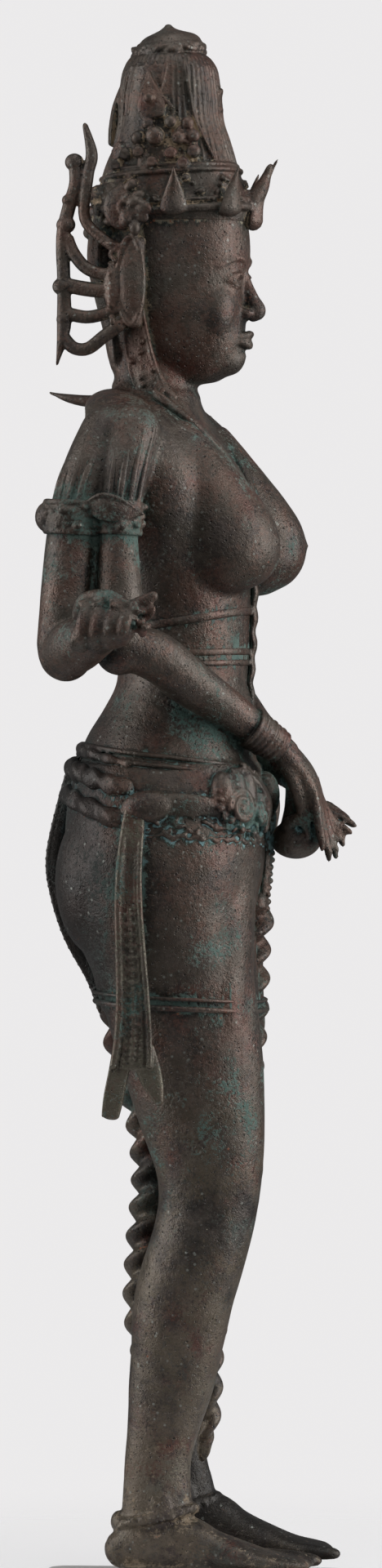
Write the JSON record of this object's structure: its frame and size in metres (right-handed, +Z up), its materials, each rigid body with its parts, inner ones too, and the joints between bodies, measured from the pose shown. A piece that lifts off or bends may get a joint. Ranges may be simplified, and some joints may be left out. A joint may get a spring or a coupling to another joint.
{
  "type": "parvati statue",
  "caption": "Slender standing goddess in dark patinated bronze, with tall crown, pierced ear ornament, extra pair of arms, wrapped skirt and twisted cords, on a low plinth.",
  "frame": {"origin": "level with the underside of the plinth, under the middle of the whole statue's plan; the plinth's own middle is 3 mm behind it", "axes": "+X the way the figure's feet point, +Y towards its left side, +Z up along the standing figure"},
  "size_m": [0.1561, 0.2996, 0.775],
  "materials": {
    "figure_bronze": "dark brown bronze patina, pitted casting skin, green and pale blue corrosion in the hollows",
    "base_bronze": "pale grey weathered skin over plain bronze, with brown stains, satin"
  },
  "bodies": {
    "root": {"figure": "figure_bronze", "base": "base_bronze"}
  },
  "joints": []
}
